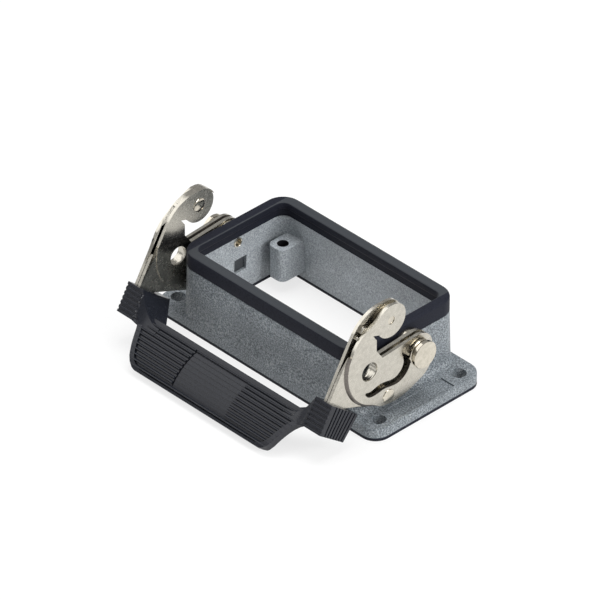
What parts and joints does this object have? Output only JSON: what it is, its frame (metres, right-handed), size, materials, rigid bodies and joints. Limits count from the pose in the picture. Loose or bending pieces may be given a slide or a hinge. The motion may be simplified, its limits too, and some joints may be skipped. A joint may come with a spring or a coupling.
{
  "type": "heavy duty rectangular connector bulkhead housing",
  "caption": "Bulkhead housing of a heavy duty rectangular connector: open bay, rubber rim seal, drilled flange, and a locking lever with hooked steel cheeks and a ribbed black handle.",
  "frame": {"origin": "centre of the flange's screw pattern on the panel face, the underside of the flange gasket", "axes": "+Z away from the panel towards the hood, +X along the long side towards the blank label field, lever handle on the -Y side"},
  "size_m": [0.092, 0.07, 0.0411],
  "materials": {
    "painted_casting": "fine-textured grey powder coat on die-cast aluminium",
    "seal_rubber": "satin black rubber",
    "nickel_sheet": "satin nickel-plated stamped sheet",
    "nickel_turned": "nickel-plated turned steel",
    "handle_plastic": "satin black moulded plastic with fine ribs"
  },
  "bodies": {
    "housing": {"housing_shell": "painted_casting", "rim_seal": "seal_rubber", "flange_seal": "seal_rubber", "left_pivot_stud": "nickel_turned", "right_pivot_stud": "nickel_turned", "left_wall_washer": "nickel_turned", "right_wall_washer": "nickel_turned", "left_head_washer": "nickel_turned", "right_head_washer": "nickel_turned"},
    "lever": {"left_inner_cheek": "nickel_sheet", "right_inner_cheek": "nickel_sheet", "left_outer_cheek": "nickel_sheet", "right_outer_cheek": "nickel_sheet", "left_hook_roller": "nickel_turned", "right_hook_roller": "nickel_turned", "left_hook_rivet": "nickel_turned", "right_hook_rivet": "nickel_turned", "left_arm_spacer": "nickel_turned", "right_arm_spacer": "nickel_turned", "left_arm_rivet": "nickel_turned", "right_arm_rivet": "nickel_turned", "lever_handle": "handle_plastic"}
  },
  "joints": [
    {"name": "lever_pivot", "type": "hinge", "parent": "housing", "child": "lever", "pos_m": [0, 0, 0.0196], "axis": [-1, 0, 0], "range_deg": [0, 60]}
  ]
}
